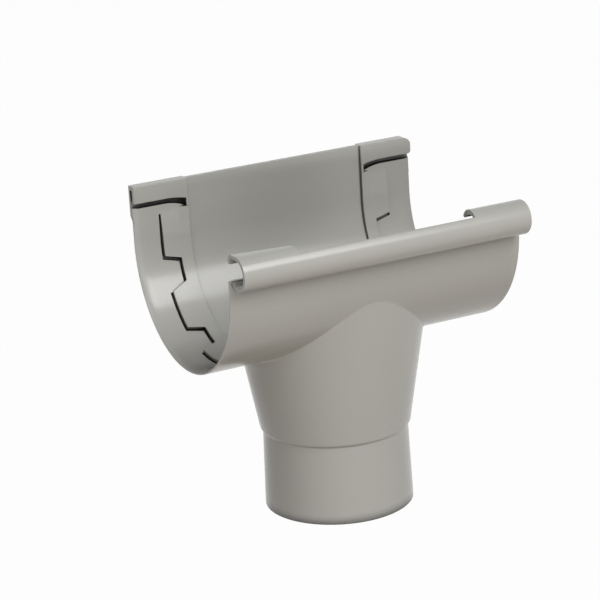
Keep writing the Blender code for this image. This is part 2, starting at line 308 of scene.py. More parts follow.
def painted_shade_in_gaps(nodes, links, colour):
    """The same colour with painted shade, nearly black where walls stand close together."""
    # Painted shade: the occlusion value darkens the colour where shadow would fall.
    gap = nodes.new("ShaderNodeAmbientOcclusion")
    gap.inputs["Distance"].default_value = PAINTED_SHADE_REACH
    shade = nodes.new("ShaderNodeMapRange")
    shade.inputs["From Min"].default_value = PAINTED_SHADE_OPENNESS[0]
    shade.inputs["From Max"].default_value = PAINTED_SHADE_OPENNESS[1]
    mix = nodes.new("ShaderNodeMixRGB")
    mix.inputs[1].default_value = PAINTED_SHADE_COLOUR
    links.new(gap.outputs["AO"], shade.inputs["Value"])
    links.new(shade.outputs["Result"], mix.inputs["Fac"])
    links.new(colour, mix.inputs[2])
    return mix.outputs["Color"]


def uneven_gloss(nodes, links):
    """A roughness that changes a little over the surface."""
    gloss = nodes.new("ShaderNodeMapRange")
    gloss.inputs["To Min"].default_value = ROUGHNESS[0]
    gloss.inputs["To Max"].default_value = ROUGHNESS[1]
    links.new(noise(nodes, links, GLOSS_SCALE), gloss.inputs["Value"])
    return gloss.outputs["Result"]


def mould_grain(nodes, links):
    """The very fine grain that the mould leaves."""
    bump = nodes.new("ShaderNodeBump")
    bump.inputs["Strength"].default_value = GRAIN_STRENGTH
    bump.inputs["Distance"].default_value = GRAIN_HEIGHT
    links.new(noise(nodes, links, GRAIN_SCALE), bump.inputs["Height"])
    return bump.outputs["Normal"]


# %% [markdown]
# One Principled BSDF takes these together. The colour drifts first and gets its painted shade in
# the gaps last, so that a gap is as dark at one end of the part as at the other.

# %% Plastic material
def plastic_material():
    """Satin grey plastic: a faint drift of colour, painted shade in gaps, uneven gloss, mould
    grain.
    """
    material = bpy.data.materials.new("light_grey_plastic")
    material.use_nodes = True
    nodes, links = material.node_tree.nodes, material.node_tree.links
    shader = nodes["Principled BSDF"]
    shader.inputs["IOR"].default_value = PLASTIC_IOR
    # The colour gets its painted shade in the gaps here.
    colour = painted_shade_in_gaps(nodes, links, plastic_colour(nodes, links))
    links.new(colour, shader.inputs["Base Color"])
    links.new(uneven_gloss(nodes, links), shader.inputs["Roughness"])
    links.new(mould_grain(nodes, links), shader.inputs["Normal"])
    return material


plastic = plastic_material()
print("plastic:", len(plastic.node_tree.nodes), "nodes")

# %% [markdown]
# ## Sizes
#
# Every size is written once here, in metres, and the helpers below take theirs from these. The
# section of the part is drawn round the trough's axis: y runs from front to back and z runs up.
# A bite is how far one solid reaches into another that it joins, and CLEAR is how far a cutter
# reaches past what it cuts. SAME_PLACE and MERGE_DISTANCE say how near two points must be to
# count as one place, or to be merged.

# %% Sizes of the outlet
TROUGH_LENGTH = 0.1685
TROUGH_RADIUS = 0.0567
WALL = 0.0022
BACK_WALL_RISE = 0.0306
LEAD_IN_LENGTH = 0.0030
LEAD_IN_DEPTH = 0.0014

SPIGOT_RADIUS = 0.0400
SPIGOT_NECK_RADIUS = 0.0389
SPIGOT_HEIGHT = 0.0427
SHOULDER_RISE = 0.0014
SHOULDER_RADIUS = 0.0404
FUNNEL_HEIGHT = 0.0454
FUNNEL_HALF_LENGTH = 0.0488
FUNNEL_SIDE_DROP = 0.0228
JUNCTION_FILLET = 0.0025

BEAD_RADIUS = 0.0091
BEAD_WALL = 0.0020
BEAD_OFFSET = 0.0058
BEAD_RISE = 0.0098
BEAD_END_INSET = 0.0015
BEAD_LEDGE = 0.0006
OPEN_LIP_ANGLE = math.radians(137)
CLIP_LIP_ANGLE = math.radians(34)
CLIP_LENGTH = 0.0308
CLIP_RUN_IN = 0.0015
LEFT_CLIP_FLAT = 0.0052

HOOK_LENGTH = 0.0316
LIP_WALL = 0.0020
LIP_DROP = 0.0094
LIP_GAP = 0.0026
SLOT_WIDTH = 0.0024
SLOT_ROOF = 0.0022
SLOT_END_WALL = 0.0013
SLOT_RAMP = 0.0004
BULGE_DROP = 0.0165
BULGE_RAMP = 0.0037
CORNER_RADIUS = 0.0050

STOP_RISE = 0.0020
STOP_WIDTH = 0.0162
STOP_NOTCH_DEPTH = 0.0092
STOP_BACK_DROP = 0.0152
STOP_TOP_RAMP = 0.0140
STOP_FRONT_DROP = 0.0018
NOTCH_COUNT = 4
NOTCH_START = math.radians(10.4)
NOTCH_PITCH = math.radians(45.2)
NOTCH_STEP = math.radians(2.5)
NOTCH_FLOOR = math.radians(13.5)
NOTCH_RETURN = math.radians(5.0)

EDGE_RADIUS = 0.0004
SOFT_EDGE_RADIUS = 1.5 * EDGE_RADIUS
FINE_EDGE_RADIUS = 0.7 * EDGE_RADIUS
BITE = 0.0005
CLEAR = 0.005
SAME_PLACE = 1e-5
MERGE_DISTANCE = 1e-6

INNER_RADIUS = TROUGH_RADIUS - WALL
HALF_LENGTH = TROUGH_LENGTH / 2
SHOULDER_Z = SPIGOT_HEIGHT + SHOULDER_RISE
TROUGH_Z = SHOULDER_Z + FUNNEL_HEIGHT + TROUGH_RADIUS
LENGTH_FLARE = (FUNNEL_HALF_LENGTH - SHOULDER_RADIUS) / FUNNEL_HEIGHT
SIDE_HALF_WIDTH = math.sqrt(TROUGH_RADIUS ** 2 - FUNNEL_SIDE_DROP ** 2)
WIDTH_FLARE = (SIDE_HALF_WIDTH - SHOULDER_RADIUS) / (TROUGH_Z - FUNNEL_SIDE_DROP - SHOULDER_Z)
LIP_FRONT = INNER_RADIUS - STOP_RISE
SLOT_FRONT = LIP_FRONT + LIP_WALL
SLOT_BACK = SLOT_FRONT + SLOT_WIDTH
BULGE_BACK = SLOT_BACK + WALL
HOOK_START = HALF_LENGTH - HOOK_LENGTH
BEAD_Y = -(TROUGH_RADIUS + BEAD_OFFSET)
BEAD_MIDDLE = BEAD_RADIUS - BEAD_WALL / 2
BEAD_ROOT = 2 * math.pi - math.acos((BEAD_OFFSET + BITE) / BEAD_RADIUS)
BEAD_FLOOR = BEAD_RISE + (BEAD_RADIUS - BEAD_WALL) * math.sin(BEAD_ROOT)
FRONT_WALL_RISE = BEAD_FLOOR + BEAD_LEDGE
print("the trough's axis is at", round(TROUGH_Z, 4))
print("its front wall rises", round(FRONT_WALL_RISE, 4), "above it")

# %% [markdown]
# ## Working by hand, in code
#
# In Blender's window a modeller selects something and then calls an operator on it. The same
# works in a script: these helpers put one object into edit mode, select the vertices, edges or
# faces that pass a test on their place, and apply a modifier when a piece is finished.

# %% Helpers for modelling
SHARP_ANGLE = math.radians(40)


def hold(obj):
    """Make one object the only selected and active one."""
    bpy.ops.object.select_all(action="DESELECT")
    obj.select_set(True)
    bpy.context.view_layer.objects.active = obj


def edit(obj):
    """Go into edit mode on one object with nothing selected."""
    hold(obj)
    bpy.ops.object.mode_set(mode="EDIT")
    bpy.ops.mesh.select_all(action="DESELECT")


def pick(obj, kind, test):
    """Select the vertices, edges or faces that pass a test."""
    bpy.ops.mesh.select_mode(type=kind)
    bpy.ops.mesh.select_all(action="DESELECT")
    mesh = bmesh.from_edit_mesh(obj.data)
    parts = {"VERT": mesh.verts, "EDGE": mesh.edges, "FACE": mesh.faces}[kind]
    for part in parts:
        if test(part):
            part.select_set(True)
    bmesh.update_edit_mesh(obj.data)


def round_sharp_edges(radius, segments=2, angle=SHARP_ANGLE):
    """Round every edge of the mesh in hand that is sharper than the angle."""
    bpy.ops.mesh.select_mode(type="EDGE")
    bpy.ops.mesh.select_all(action="DESELECT")
    bpy.ops.mesh.edges_select_sharp(sharpness=angle)
    bpy.ops.mesh.bevel(offset=radius, segments=segments, affect="EDGES")


def leave(obj):
    """Turn all faces outwards and go back to object mode."""
    bpy.ops.mesh.select_all(action="SELECT")
    bpy.ops.mesh.normals_make_consistent(inside=False)
    bpy.ops.object.mode_set(mode="OBJECT")
    return obj


def name_piece(name):
    """Name the primitive just added and put its place into its mesh."""
    piece = bpy.context.object
    piece.name = name
    bpy.ops.object.transform_apply(location=True, rotation=True, scale=True)
    return piece


def skin(name, rings, closed=False):
    """A solid drawn as a row of equal rings, for forms that no primitive gives."""
    mesh = bpy.data.meshes.new(name)
    count, size = len(rings), len(rings[0])
    faces = []
    for row in range(count if closed else count - 1):
        here, after = row * size, (row + 1) % count * size
        faces += [
            (here + i, here + (i + 1) % size, after + (i + 1) % size, after + i)
            for i in range(size)
        ]
    if not closed:
        faces += [tuple(range(size)), tuple(range((count - 1) * size, count * size))]
    mesh.from_pydata([point for ring in rings for point in ring], [], faces)
    piece = bpy.data.objects.new(name, mesh)
    bpy.context.scene.collection.objects.link(piece)
    return piece


def combine(body, tool, operation):
    """Join a piece to the body or cut it out, and take the piece away."""
    hold(body)
    boolean = body.modifiers.new(tool.name, "BOOLEAN")
    boolean.operation = operation
    boolean.solver = "MANIFOLD"
    boolean.object = tool
    bpy.ops.object.modifier_apply(modifier=boolean.name)
    bpy.data.objects.remove(tool, do_unlink=True)
    print(operation.lower(), "gives", len(body.data.polygons), "faces")


def arc(centre, radius, start, end, steps):
    """Points of a section on a circle, from one angle to the other."""
    angles = [start + (end - start) * i / steps for i in range(steps + 1)]
    return [(centre[0] + radius * math.cos(a), centre[1] + radius * math.sin(a)) for a in angles]


def at_x(section, x):
    """A section round the trough's axis, set at x."""
    return [(x, AXIS_Y + y, TROUGH_Z + z) for y, z in section]


# %% [markdown]
# ## Trough
#
# The trough is a wall of even thickness, bent to a half-round and carried up straight at the
# front and back. It could be a cylinder with half of it cut away, but then the wall, the lead-in
# and the rounded rims would each need another step. Instead the wall's section along the gutter
# is drawn once, as a thin flat grid at the front, and spun half a turn about the axis. The two
# end faces of the spin are then extruded up.

# %% Trough
SPIN_STEPS = 120
GRID_COLUMNS = 44
RIM_ANGLE = math.radians(50)


def trough():
    """The half-round wall with its lead-in at both ends and its straight sides."""
    bpy.ops.object.select_all(action="DESELECT")
    middle_y = AXIS_Y - TROUGH_RADIUS + WALL / 2
    bpy.ops.mesh.primitive_grid_add(
        x_subdivisions=GRID_COLUMNS, y_subdivisions=1, size=1, location=(0, middle_y, TROUGH_Z),
    )
    piece = name_piece("trough")
    edit(piece)
    bpy.ops.mesh.select_all(action="SELECT")
    inside = HALF_LENGTH - LEAD_IN_LENGTH
    bpy.ops.transform.resize(value=(2 * inside, WALL, 1), center_override=(0, middle_y, TROUGH_Z))
    for side in (-1, 1):
        pick(piece, "EDGE", lambda e: all(
            abs(v.co.x - side * inside) < SAME_PLACE for v in e.verts
        ))
        out = (side * LEAD_IN_LENGTH, 0, 0)
        bpy.ops.mesh.extrude_region_move(TRANSFORM_OT_translate={"value": out})
    pick(piece, "VERT", lambda v: abs(v.co.x) > inside + SAME_PLACE and v.co.y > middle_y)
    bpy.ops.transform.translate(value=(0, -LEAD_IN_DEPTH, 0))
    bpy.ops.mesh.select_mode(type="FACE")
    bpy.ops.mesh.select_all(action="SELECT")
    bpy.ops.mesh.spin(
        steps=SPIN_STEPS, angle=math.pi, center=(0, AXIS_Y, TROUGH_Z), axis=(-1, 0, 0),
    )
    for side, rise in ((-1, FRONT_WALL_RISE), (1, BACK_WALL_RISE)):
        pick(piece, "FACE", lambda f: (
            all(abs(v.co.z - TROUGH_Z) < SAME_PLACE for v in f.verts)
            and (f.calc_center_median().y - AXIS_Y) * side > 0
        ))
        bpy.ops.mesh.extrude_region_move(TRANSFORM_OT_translate={"value": (0, 0, rise)})
    bpy.ops.mesh.select_all(action="SELECT")
    bpy.ops.mesh.remove_doubles(threshold=MERGE_DISTANCE)
    bpy.ops.mesh.normals_make_consistent(inside=False)
    round_sharp_edges(EDGE_RADIUS, angle=RIM_ANGLE)
    return leave(piece)


outlet = trough()
print("trough:", len(outlet.data.polygons), "faces,", [round(v, 4) for v in outlet.dimensions])

# %% [markdown]
# ## Funnel and spigot
#
# Below the trough a funnel gathers the water and a spigot carries it into the downpipe. Seen from
# below the spigot is round, while the funnel grows a little longer than wide. A circle is extruded
# upwards ring by ring, and each ring is scaled to its own length and width. The same steps with
# smaller rings give the bore, which is cut out at the end. Many low rings keep the shading even.

# %% Funnel and spigot
ROUND_STEPS = 160
RING_STEP = 0.003


def funnel_half_sizes(z, inset):
    """Half the funnel's length and width at height z, drawn in by inset."""
    rise = z - SHOULDER_Z
    half_length = SHOULDER_RADIUS + LENGTH_FLARE * rise - inset
    half_width = SHOULDER_RADIUS + WIDTH_FLARE * rise - inset
    return half_length, half_width


def tower(name, rings):
    """A circle extruded through rings of (height, half length, half width)."""
    bpy.ops.object.select_all(action="DESELECT")
    bpy.ops.mesh.primitive_circle_add(
        vertices=ROUND_STEPS, radius=1, fill_type="NGON", location=(0, AXIS_Y, rings[0][0]),
    )
    piece = name_piece(name)
    edit(piece)
    bpy.ops.mesh.select_mode(type="FACE")
    bpy.ops.mesh.select_all(action="SELECT")
    z, length, width = 0, 1, 1
    for step, (next_z, next_length, next_width) in enumerate(rings):
        if step:
            bpy.ops.mesh.extrude_region_move(TRANSFORM_OT_translate={"value": (0, 0, next_z - z)})
        bpy.ops.transform.resize(
            value=(next_length / length, next_width / width, 1),
            center_override=(0, AXIS_Y, next_z),
        )
        z, length, width = next_z, next_length, next_width
    return leave(piece)


def funnel_rings(inset):
    """The funnel's rings from its shoulder up into the trough."""
    count = math.ceil((TROUGH_Z - SHOULDER_Z) / RING_STEP)
    heights = [SHOULDER_Z + (TROUGH_Z - SHOULDER_Z) * i / count for i in range(count + 1)]
    return [(z, *funnel_half_sizes(z, inset)) for z in heights]


def pipe_rings(end, neck, foot):
    """The spigot's rings from its foot to its neck."""
    count = math.ceil(SPIGOT_HEIGHT / RING_STEP)
    rings = []
    for i in range(count + 1):
        share = i / count
        radius = end + (neck - end) * share
        rings.append((foot + (SPIGOT_HEIGHT - foot) * share, radius, radius))
    return rings


print("the funnel has", len(funnel_rings(0)), "rings")

# %% [markdown]
# The outside has its edges rounded while it is still a plain stack of rings. Its top is then cut
# away with a cylinder, so that the funnel ends in the middle of the trough's wall. The bore is
# drawn one wall further in, and its mouth widens to a round edge at the foot.

# %% Outside and bore
def drain_body():
    """The outside of the spigot, its shoulder and the funnel, with rounded edges."""
    rings = pipe_rings(SPIGOT_RADIUS, SPIGOT_NECK_RADIUS, 0) + funnel_rings(0)
    piece = tower("drain_body", rings)
    edit(piece)
    edges = ((0, EDGE_RADIUS), (SPIGOT_HEIGHT, EDGE_RADIUS), (SHOULDER_Z, SOFT_EDGE_RADIUS))
    for z, radius in edges:
        pick(piece, "EDGE", lambda e: all(abs(v.co.z - z) < SAME_PLACE for v in e.verts))
        bpy.ops.mesh.bevel(offset=radius, segments=3, affect="EDGES")
    return leave(piece)


def drain_bore():
    """The inside of the spigot and the funnel, one wall in from the outside."""
    end, neck = SPIGOT_RADIUS - WALL, SPIGOT_NECK_RADIUS - WALL
    mouth = [(-CLEAR, end + CLEAR + EDGE_RADIUS, end + CLEAR + EDGE_RADIUS)]
    mouth += [
        (EDGE_RADIUS * (1 - math.sin(turn)), *(2 * [end + EDGE_RADIUS * (1 - math.cos(turn))]))
        for turn in (math.pi / 2, math.pi / 3, math.pi / 6)
    ]
    return tower("drain_bore", mouth + pipe_rings(end, neck, EDGE_RADIUS) + funnel_rings(WALL))


def trough_room(radius):
    """A cylinder that fills the trough out to the given radius."""
    bpy.ops.object.select_all(action="DESELECT")
    bpy.ops.mesh.primitive_cylinder_add(
        vertices=2 * SPIN_STEPS, radius=radius, depth=TROUGH_LENGTH,
        location=(0, AXIS_Y, TROUGH_Z), rotation=(0, math.pi / 2, 0),
    )
    return name_piece("trough_room")


drain = drain_body()
combine(drain, trough_room(INNER_RADIUS + WALL / 2), "DIFFERENCE")
print("funnel and spigot:", [round(v, 4) for v in drain.dimensions])

# %% [markdown]
# ## Junction
#
# Where the funnel meets the trough's underside the mould leaves a small radius. A bevel on that
# edge would have to cross the fine rings of both walls, so the radius is laid on as its own
# solid: a thin section with a hollow cheek that touches both walls, carried round the edge.

# %% Junction
FILLET_STEPS = 8
FILLET_BITE = 0.0001


def meeting_point(angle):
    """Where the funnel's outside meets the trough's underside, with both outward normals."""
    side = math.sin(angle)
    slope = WIDTH_FLARE * side
    depth = SHOULDER_Z - TROUGH_Z
    a = slope ** 2 + 1
    b = SHOULDER_RADIUS * side * slope + depth
    c = (SHOULDER_RADIUS * side) ** 2 + depth ** 2 - TROUGH_RADIUS ** 2
    rise = (-b - math.sqrt(b ** 2 - a * c)) / a
    half_length = SHOULDER_RADIUS + LENGTH_FLARE * rise
    half_width = SHOULDER_RADIUS + WIDTH_FLARE * rise
    y = half_width * side
    flare = LENGTH_FLARE * math.cos(angle) ** 2 * half_width + WIDTH_FLARE * side ** 2 * half_length
    funnel_normal = Vector((half_width * math.cos(angle), half_length * side, -flare)).normalized()
    trough_normal = Vector((0, y, depth + rise)).normalized()
    point = Vector((half_length * math.cos(angle), AXIS_Y + y, SHOULDER_Z + rise))
    return point, funnel_normal, trough_normal


def fillet_ring(angle):
    """The hollow-cheeked section at one place of the edge."""
    point, funnel_normal, trough_normal = meeting_point(angle)
    cosine = funnel_normal.dot(trough_normal)
    both = funnel_normal + trough_normal
    centre = point + both * (JUNCTION_FILLET / (1 + cosine))
    opening = math.acos(cosine)
    ring = []
    for i in range(FILLET_STEPS + 1):
        turn = opening * i / FILLET_STEPS
        way = funnel_normal * math.sin(opening - turn) + trough_normal * math.sin(turn)
        ring.append(centre - way * ((JUNCTION_FILLET + FILLET_BITE) / math.sin(opening)))
    ring.append(point - both * 2 * BITE)
    return ring


def junction():
    """The small radius all round the foot of the trough."""
    angles = [2 * math.pi * (i + 0.5) / ROUND_STEPS for i in range(ROUND_STEPS)]
    piece = skin("junction", [fillet_ring(angle) for angle in angles], closed=True)
    edit(piece)
    return leave(piece)


combine(outlet, drain, "UNION")
combine(outlet, junction(), "UNION")
combine(outlet, drain_bore(), "DIFFERENCE")

# %% [markdown]
# ## Rolled bead and clips
#
# Along the front the wall rolls outwards into a bead. In the middle it is an open J. At each end
# it is rolled further over into a clip that snaps round the gutter's own bead, and the left clip
# is sprung a little open, so its top runs back flat before it curls down. A plate could be bent
# round with modifiers, but the lip has to close and open again along the way. So the section is
# written as a distance along the middle of the wall, which is then rolled up.

# %% Section of the bead
BEAD_STEPS = 64
NOSE_STEPS = 8


def bead_point(distance, flat):
    """A point on the middle of the bead's wall, with the angle that its outside faces."""
    angle = BEAD_ROOT - distance / BEAD_MIDDLE
    if angle >= math.pi / 2:
        return BEAD_MIDDLE * math.cos(angle), BEAD_MIDDLE * math.sin(angle), angle
    past_top = (math.pi / 2 - angle) * BEAD_MIDDLE
    if past_top <= flat:
        return past_top, BEAD_MIDDLE, math.pi / 2
    curl = BEAD_MIDDLE - flat
    angle = math.pi / 2 - (past_top - flat) / curl
    return flat + curl * math.cos(angle), flat + curl * math.sin(angle), angle


def bead_length(lip_angle, flat):
    """How far the bead's wall runs from its root to its lip."""
    if not flat:
        return (BEAD_ROOT - lip_angle) * BEAD_MIDDLE
    curl = BEAD_MIDDLE - flat
    end = math.asin((BEAD_MIDDLE * math.sin(lip_angle) - flat) / curl)
    return (BEAD_ROOT - math.pi / 2) * BEAD_MIDDLE + flat + (math.pi / 2 - end) * curl


def bead_section(lip_angle, flat):
    """The bead's closed section, from its root to a rounded lip and back."""
    length = bead_length(lip_angle, flat)
    outer, inner = [], []
    for i in range(BEAD_STEPS + 1):
        y, z, angle = bead_point(length * i / BEAD_STEPS, flat)
        for side, line in ((1, outer), (-1, inner)):
            offset = side * BEAD_WALL / 2
            line.append((
                BEAD_Y + y + offset * math.cos(angle),
                BEAD_RISE + z + offset * math.sin(angle),
            ))
    nose = arc((BEAD_Y + y, BEAD_RISE + z), BEAD_WALL / 2, angle, angle - math.pi, NOSE_STEPS)
    in_wall = -TROUGH_RADIUS + WALL / 2
    return outer + nose[1:-1] + inner[::-1] + [(in_wall, BEAD_FLOOR)]


print("the open bead's wall is", round(bead_length(OPEN_LIP_ANGLE, 0), 4), "long")

# %% [markdown]
# The row of sections is skinned from end to end. Sections stand where something changes: at the
# ends, in small steps where the lip closes into a clip, and along the left clip, whose top turns
# flat. The straight stretches between them need none.

# %% Rolled bead
RUN_IN_STEPS = 8
CLIP_STATIONS = 10


def bead_stations():
    """Where the bead's sections stand, with the angle of the lip and the flat of the top."""
    end = HALF_LENGTH - BEAD_END_INSET
    clip_start = end - CLIP_LENGTH
    right = [(end, CLIP_LIP_ANGLE, 0)]
    for i in range(RUN_IN_STEPS + 1):
        share = i / RUN_IN_STEPS
        lip_angle = CLIP_LIP_ANGLE + (OPEN_LIP_ANGLE - CLIP_LIP_ANGLE) * share
        right.append((clip_start - CLIP_RUN_IN * share, lip_angle, 0))
    left = [(-x, lip_angle, 0) for x, lip_angle, flat in right[:0:-1]]
    for i in range(1, CLIP_STATIONS + 1):
        share = i / CLIP_STATIONS
        left.append((-clip_start - CLIP_LENGTH * share, CLIP_LIP_ANGLE, LEFT_CLIP_FLAT * share))
    return right + left


def rolled_bead():
    """The bead with both clips, and its ends rounded."""
    rings = [at_x(bead_section(lip_angle, flat), x) for x, lip_angle, flat in bead_stations()]
    piece = skin("rolled_bead", rings)
    edit(piece)
    bpy.ops.mesh.select_all(action="SELECT")
    bpy.ops.mesh.normals_make_consistent(inside=False)
    end = HALF_LENGTH - BEAD_END_INSET
    pick(piece, "EDGE", lambda e: all(abs(abs(v.co.x) - end) < SAME_PLACE for v in e.verts))
    bpy.ops.mesh.bevel(offset=EDGE_RADIUS, segments=2, affect="EDGES")
    return leave(piece)


combine(outlet, rolled_bead(), "UNION")

# %% [markdown]
# ## Hooks
#
# At each end of the back wall a lip hangs down in front of a slot, and the gutter's back edge
# slides up behind it. The hook is box modelled: a bar across the top of the wall, whose back is
# extruded down to the foot of the bulge. Towards its inner end the lip bends down a little. A
# lattice could bend it, but a few cuts across the lip, each moved down by its share, give the
# same curve and keep the rest of the bar straight.

# %% Hooks
LIP_BEND = 0.0015
BEND_LENGTH = 0.0120
BEND_STEPS = 6
BEND_PLACES = [
    HOOK_START + SLOT_END_WALL + BEND_LENGTH * i / BEND_STEPS for i in range(BEND_STEPS + 1)
]


def bend(x):
    """How far the slot is bent down at x: 1 at its inner end, 0 where the bend runs out."""
    past = (x - BEND_PLACES[0]) / BEND_LENGTH
    return (1 - min(1, max(0, past))) ** 2


def bend_lip(piece, side):
    """Cut the lip across at the places of the bend and move each cut down by its share."""
    lip_end = TROUGH_Z + BACK_WALL_RISE - LIP_DROP
    lip_back = AXIS_Y + INNER_RADIUS + WALL / 2
    for x in BEND_PLACES:
        bpy.ops.mesh.select_all(action="SELECT")
        bpy.ops.mesh.bisect(plane_co=(side * x, 0, 0), plane_no=(1, 0, 0))
    for x in [HOOK_START] + BEND_PLACES:
        pick(piece, "VERT", lambda v: (
            abs(v.co.x - side * x) < SAME_PLACE
            and abs(v.co.z - lip_end) < SAME_PLACE
            and v.co.y < lip_back + SAME_PLACE
        ))
        bpy.ops.transform.translate(value=(0, 0, -LIP_BEND * bend(x)))


def hook(side):
    """The bar on top of the back wall at one end, with the bulge behind it."""
    top, lip_end = BACK_WALL_RISE, BACK_WALL_RISE - LIP_DROP
    foot = BACK_WALL_RISE - BULGE_DROP
    in_wall = INNER_RADIUS + WALL / 2
    middle = (
        side * (HOOK_START + HALF_LENGTH) / 2,
        AXIS_Y + (LIP_FRONT + BULGE_BACK) / 2,
        TROUGH_Z + (lip_end + top) / 2,
    )
    bpy.ops.object.select_all(action="DESELECT")
    bpy.ops.mesh.primitive_cube_add(size=1, location=middle)
    piece = name_piece("hook")
    edit(piece)
    bpy.ops.mesh.select_all(action="SELECT")
    size = (HOOK_LENGTH, BULGE_BACK - LIP_FRONT, top - lip_end)
    bpy.ops.transform.resize(value=size, center_override=middle)
    bpy.ops.mesh.bisect(plane_co=(0, AXIS_Y + in_wall, 0), plane_no=(0, 1, 0))
    pick(piece, "FACE", lambda f: (
        abs(f.calc_center_median().z - TROUGH_Z - lip_end) < SAME_PLACE
        and f.calc_center_median().y > AXIS_Y + in_wall
    ))
    bpy.ops.mesh.extrude_region_move(TRANSFORM_OT_translate={"value": (0, 0, foot - lip_end)})
    bpy.ops.mesh.extrude_region_move(TRANSFORM_OT_translate={"value": (0, 0, -BULGE_RAMP)})
    pick(piece, "VERT", lambda v: (
        abs(v.co.z - TROUGH_Z - foot + BULGE_RAMP) < SAME_PLACE
        and v.co.y > AXIS_Y + in_wall + BITE
    ))
    bpy.ops.transform.translate(value=(0, in_wall + BITE - BULGE_BACK, 0))
    bend_lip(piece, side)
    bpy.ops.mesh.select_all(action="SELECT")
    bpy.ops.mesh.normals_make_consistent(inside=False)
    round_sharp_edges(SOFT_EDGE_RADIUS, segments=3)
    return leave(piece)


print("the lip is cut at", [round(x, 4) for x in BEND_PLACES])

# %% [markdown]
# The slot is a second solid, cut out of the wall and the bar together, so that it stays one clean
# gap. Its sill bends down further than the lip does, so the gap widens towards its inner end.

# %% Slots
SILL_BEND = 0.0028


def hook_slot(side):
    """The slot behind the lip, open at the end and in front of its foot, and bent down inside."""
    lip_end, roof = BACK_WALL_RISE - LIP_DROP, BACK_WALL_RISE - SLOT_ROOF
    lean = (SLOT_BACK - INNER_RADIUS) / SLOT_RAMP
    rings = []
    for x in BEND_PLACES + [HALF_LENGTH + CLEAR]:
        foot = lip_end - LIP_GAP - SILL_BEND * bend(x)
        low, mouth = foot - SLOT_RAMP - BITE, lip_end - BITE - LIP_BEND * bend(x)
        section = [(SLOT_FRONT, roof), (SLOT_BACK, roof), (SLOT_BACK, foot)]
        section += [(INNER_RADIUS - lean * BITE, low), (INNER_RADIUS - CLEAR, low)]
        section += [(INNER_RADIUS - CLEAR, mouth), (SLOT_FRONT, mouth)]
        rings.append(at_x(section, side * x))
    piece = skin("hook_slot", rings)
    edit(piece)
    return leave(piece)


for side in (-1, 1):
    combine(outlet, hook(side), "UNION")
    combine(outlet, hook_slot(side), "DIFFERENCE")

# %% [markdown]
# ## Stepped stops
#
# Inside each end a raised band stops the gutter, and its outer edge steps in and out like a
# battlement, so that a fitter sees how far the gutter may go in when it is hot or cold. The
# outline is written as places along the wall with a width and a rise for each, and the band is
# skinned through them, fine enough to follow the round bottom. At the back the band runs out
# in a long ramp below the slot, and only a narrow web joins it to the lip. Where the band runs
# out it sinks a little below the wall, so that no thin edge is left on top of it.

# %% Stepped stops
STOP_STEP = math.radians(2)
STOP_SINK = 0.0001
STEP_ANGLE = math.radians(60)
WEB_BLEND = 0.0060


def stop_outline():
    """The stop's edge from back to front, as (place along the wall, width, rise)."""
    top = STOP_BACK_DROP - BACK_WALL_RISE
    narrow = STOP_WIDTH - STOP_NOTCH_DEPTH
    outline = [(top, STOP_WIDTH, -STOP_SINK), (top + STOP_TOP_RAMP, STOP_WIDTH, STOP_RISE)]
    for i in range(NOTCH_COUNT):
        start = NOTCH_START + NOTCH_PITCH * i
        floor = start + NOTCH_STEP
        back = floor + NOTCH_FLOOR
        for angle, width in ((start, STOP_WIDTH), (floor, narrow), (back, narrow)):
            outline.append((INNER_RADIUS * angle, width, STOP_RISE))
        outline.append((INNER_RADIUS * (back + NOTCH_RETURN), STOP_WIDTH, STOP_RISE))
    front_end = INNER_RADIUS * math.pi + FRONT_WALL_RISE - STOP_FRONT_DROP
    outline.append((front_end, STOP_WIDTH, STOP_RISE))
    return outline


def stop_point(place, radius):
    """The section point at a place along a U of the given radius."""
    half_round = INNER_RADIUS * math.pi
    if place < 0:
        return radius, -place
    if place > half_round:
        return -radius, place - half_round
    angle = -place / INNER_RADIUS
    return radius * math.cos(angle), radius * math.sin(angle)


def fine_line(outline):
    """The same line with points close enough together to follow the round bottom."""
    fine = [outline[0]]
    for here, after in zip(outline, outline[1:]):
        parts = max(1, round((after[0] - here[0]) / (INNER_RADIUS * STOP_STEP)))
        fine += [
            tuple(a + (b - a) * i / parts for a, b in zip(here, after))
            for i in range(1, parts + 1)
        ]
    return fine


def stop_web():
    """The narrow web that joins the stop to the lip, past the inner end of the slot."""
    top, shelf = LIP_DROP - BITE - BACK_WALL_RISE, STOP_BACK_DROP - BACK_WALL_RISE
    outline = [(top, SLOT_END_WALL, STOP_RISE), (shelf, SLOT_END_WALL, STOP_RISE)]
    outline.append((shelf + STOP_SINK, WEB_BLEND, -STOP_SINK))
    outline.append((shelf + STOP_TOP_RAMP + BITE, WEB_BLEND, STOP_RISE))
    return outline


def stop_band(side, outline, near_rise=None):
    """A raised band inside the trough, level across, or with another rise at its near side."""
    outer = INNER_RADIUS + WALL - BITE
    rings = []
    for place, width, rise in fine_line(outline):
        near, far = side * HOOK_START, side * (HOOK_START + width)
        near_inner = INNER_RADIUS - (near_rise or rise)
        corners = ((near, near_inner), (far, INNER_RADIUS - rise), (far, outer), (near, outer))
        rings.append([at_x([stop_point(place, radius)], x)[0] for x, radius in corners])
    piece = skin("stop_band", rings)
    edit(piece)
    bpy.ops.mesh.select_all(action="SELECT")
    bpy.ops.mesh.normals_make_consistent(inside=False)
    round_sharp_edges(FINE_EDGE_RADIUS, angle=STEP_ANGLE)
    return leave(piece)


print("the stop's edge has", len(stop_outline()), "corners")

# %% [markdown]
# A narrow groove follows the foot of the stepped edge, and shows as a black line of even width.
# It could be a curve with a thickness, but the groove's sides must stay square to the wall, so
# each stretch of the edge is moved sideways by the groove's width and skinned in the same way.
# At the right only the first ledge shows as a dark line in the photograph. The upright stretches
# there are narrower, and the first of them starts lower.

